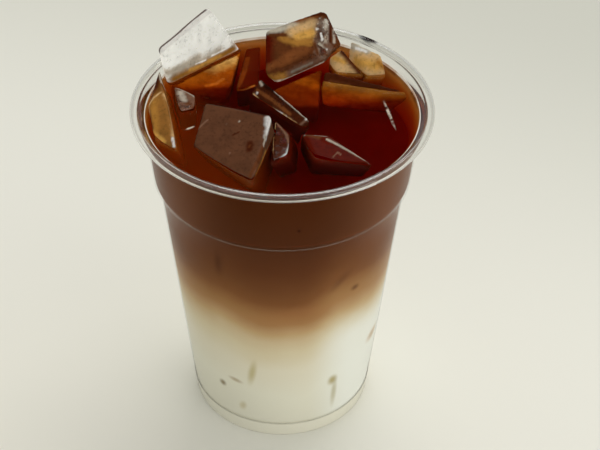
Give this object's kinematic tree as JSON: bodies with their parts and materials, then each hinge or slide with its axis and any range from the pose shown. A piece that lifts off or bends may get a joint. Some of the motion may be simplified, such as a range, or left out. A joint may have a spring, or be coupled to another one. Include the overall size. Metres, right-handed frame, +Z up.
{
  "type": "iced coffee",
  "caption": "Iced coffee over milk in a clear plastic cup with a rolled rim, with broken ice cubes standing out of the drink.",
  "frame": {"origin": "middle of the cup's foot, on the surface it stands on", "axes": "+Z up along the cup's axis; -Y is the side nearest the viewer in the picture, +X its right"},
  "size_m": [0.098, 0.098, 0.1366],
  "materials": {
    "cup": "clear thin plastic, glossy",
    "milk": "white milk seen through the cup's wall",
    "mixed": "milk and coffee running into each other",
    "coffee": "dark coffee, glossy on top",
    "ice": "clear wet ice with frosty patches"
  },
  "bodies": {
    "root": {"cup": "cup", "milk": "milk", "mixed": "mixed", "coffee": "coffee", "ice_front_left": "ice", "ice_back_left": "ice", "ice_back_left_low": "ice", "ice_back": "ice", "ice_right": "ice", "ice_right_low": "ice", "ice_middle": "ice", "ice_left": "ice", "ice_front_right": "ice", "ice_back_right": "ice", "ice_far_right": "ice", "ice_middle_small": "ice", "ice_left_small": "ice", "ice_back_small": "ice"}
  },
  "joints": []
}
